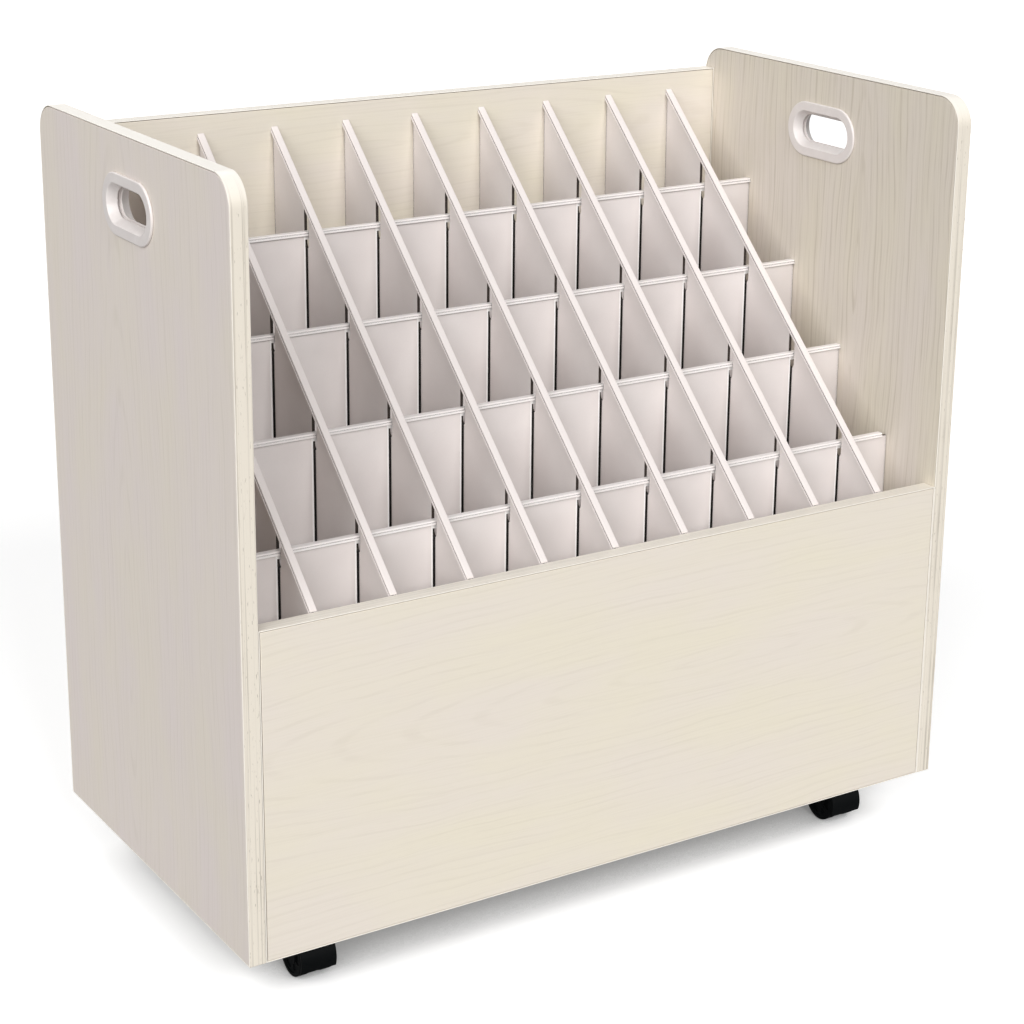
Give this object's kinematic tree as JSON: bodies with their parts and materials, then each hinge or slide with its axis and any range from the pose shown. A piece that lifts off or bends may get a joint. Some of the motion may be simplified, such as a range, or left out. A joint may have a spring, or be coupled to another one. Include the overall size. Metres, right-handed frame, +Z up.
{
  "type": "mobile roll file organizer",
  "caption": "Open-topped laminate cabinet on twin wheel casters, with a sloping grid of moulded-edge dividers that hold rolled drawings upright, and a hand grip in each side.",
  "frame": {"origin": "on the floor, under the middle of the cabinet", "axes": "+X to the right along the width, +Y from the low front panel to the high back panel, +Z up"},
  "size_m": [0.7734, 0.4, 0.743],
  "materials": {
    "laminate": "satin cream woodgrain laminate",
    "fibreboard": "matt light grey",
    "white_moulding": "satin white",
    "grip_plastic": "satin off-white",
    "caster_plastic": "satin black",
    "caster_steel": "zinc plated"
  },
  "bodies": {
    "cabinet": {"side_panel_left": "laminate", "side_panel_right": "laminate", "back_panel": "laminate", "front_panel": "laminate", "bottom_panel": "laminate", "column_divider_1": "fibreboard", "column_moulding_1": "white_moulding", "column_divider_2": "fibreboard", "column_moulding_2": "white_moulding", "column_divider_3": "fibreboard", "column_moulding_3": "white_moulding", "column_divider_4": "fibreboard", "column_moulding_4": "white_moulding", "column_divider_5": "fibreboard", "column_moulding_5": "white_moulding", "column_divider_6": "fibreboard", "column_moulding_6": "white_moulding", "column_divider_7": "fibreboard", "column_moulding_7": "white_moulding", "column_divider_8": "fibreboard", "column_moulding_8": "white_moulding", "column_divider_9": "fibreboard", "column_moulding_9": "white_moulding", "row_divider_1": "fibreboard", "row_moulding_1": "white_moulding", "row_divider_2": "fibreboard", "row_moulding_2": "white_moulding", "row_divider_3": "fibreboard", "row_moulding_3": "white_moulding", "row_divider_4": "fibreboard", "row_moulding_4": "white_moulding", "hand_grip_left_outer": "grip_plastic", "hand_grip_left_inner": "grip_plastic", "hand_grip_right_outer": "grip_plastic", "hand_grip_right_inner": "grip_plastic", "caster_front_left_plate": "caster_steel", "caster_front_left_kingpin": "caster_steel", "caster_front_right_plate": "caster_steel", "caster_front_right_kingpin": "caster_steel", "caster_rear_left_plate": "caster_steel", "caster_rear_left_kingpin": "caster_steel", "caster_rear_right_plate": "caster_steel", "caster_rear_right_kingpin": "caster_steel"},
    "caster_front_left_swivel": {"caster_front_left_hood": "caster_plastic", "caster_front_left_axle": "caster_steel"},
    "caster_front_left_wheel_left": {"caster_front_left_wheel_left": "caster_plastic"},
    "caster_front_left_wheel_right": {"caster_front_left_wheel_right": "caster_plastic"},
    "caster_front_right_swivel": {"caster_front_right_hood": "caster_plastic", "caster_front_right_axle": "caster_steel"},
    "caster_front_right_wheel_left": {"caster_front_right_wheel_left": "caster_plastic"},
    "caster_front_right_wheel_right": {"caster_front_right_wheel_right": "caster_plastic"},
    "caster_rear_left_swivel": {"caster_rear_left_hood": "caster_plastic", "caster_rear_left_axle": "caster_steel"},
    "caster_rear_left_wheel_left": {"caster_rear_left_wheel_left": "caster_plastic"},
    "caster_rear_left_wheel_right": {"caster_rear_left_wheel_right": "caster_plastic"},
    "caster_rear_right_swivel": {"caster_rear_right_hood": "caster_plastic", "caster_rear_right_axle": "caster_steel"},
    "caster_rear_right_wheel_left": {"caster_rear_right_wheel_left": "caster_plastic"},
    "caster_rear_right_wheel_right": {"caster_rear_right_wheel_right": "caster_plastic"}
  },
  "joints": [
    {"name": "caster_front_left_swivel", "type": "hinge", "parent": "cabinet", "child": "caster_front_left_swivel", "pos_m": [-0.30217, -0.13303, 0.04], "axis": [0, 0, 1], "continuous": true},
    {"name": "caster_front_left_wheel_left_roll", "type": "hinge", "parent": "caster_front_left_swivel", "child": "caster_front_left_wheel_left", "pos_m": [-0.31387, -0.14753, 0.02], "axis": [1, 0, 0], "continuous": true},
    {"name": "caster_front_left_wheel_right_roll", "type": "hinge", "parent": "caster_front_left_swivel", "child": "caster_front_left_wheel_right", "pos_m": [-0.29047, -0.14753, 0.02], "axis": [1, 0, 0], "continuous": true},
    {"name": "caster_front_right_swivel", "type": "hinge", "parent": "cabinet", "child": "caster_front_right_swivel", "pos_m": [0.30217, -0.13303, 0.04], "axis": [0, 0, 1], "continuous": true},
    {"name": "caster_front_right_wheel_left_roll", "type": "hinge", "parent": "caster_front_right_swivel", "child": "caster_front_right_wheel_left", "pos_m": [0.29047, -0.14753, 0.02], "axis": [1, 0, 0], "continuous": true},
    {"name": "caster_front_right_wheel_right_roll", "type": "hinge", "parent": "caster_front_right_swivel", "child": "caster_front_right_wheel_right", "pos_m": [0.31387, -0.14753, 0.02], "axis": [1, 0, 0], "continuous": true},
    {"name": "caster_rear_left_swivel", "type": "hinge", "parent": "cabinet", "child": "caster_rear_left_swivel", "pos_m": [-0.30217, 0.13303, 0.04], "axis": [0, 0, 1], "continuous": true},
    {"name": "caster_rear_left_wheel_left_roll", "type": "hinge", "parent": "caster_rear_left_swivel", "child": "caster_rear_left_wheel_left", "pos_m": [-0.31387, 0.11853, 0.02], "axis": [1, 0, 0], "continuous": true},
    {"name": "caster_rear_left_wheel_right_roll", "type": "hinge", "parent": "caster_rear_left_swivel", "child": "caster_rear_left_wheel_right", "pos_m": [-0.29047, 0.11853, 0.02], "axis": [1, 0, 0], "continuous": true},
    {"name": "caster_rear_right_swivel", "type": "hinge", "parent": "cabinet", "child": "caster_rear_right_swivel", "pos_m": [0.30217, 0.13303, 0.04], "axis": [0, 0, 1], "continuous": true},
    {"name": "caster_rear_right_wheel_left_roll", "type": "hinge", "parent": "caster_rear_right_swivel", "child": "caster_rear_right_wheel_left", "pos_m": [0.29047, 0.11853, 0.02], "axis": [1, 0, 0], "continuous": true},
    {"name": "caster_rear_right_wheel_right_roll", "type": "hinge", "parent": "caster_rear_right_swivel", "child": "caster_rear_right_wheel_right", "pos_m": [0.31387, 0.11853, 0.02], "axis": [1, 0, 0], "continuous": true}
  ]
}
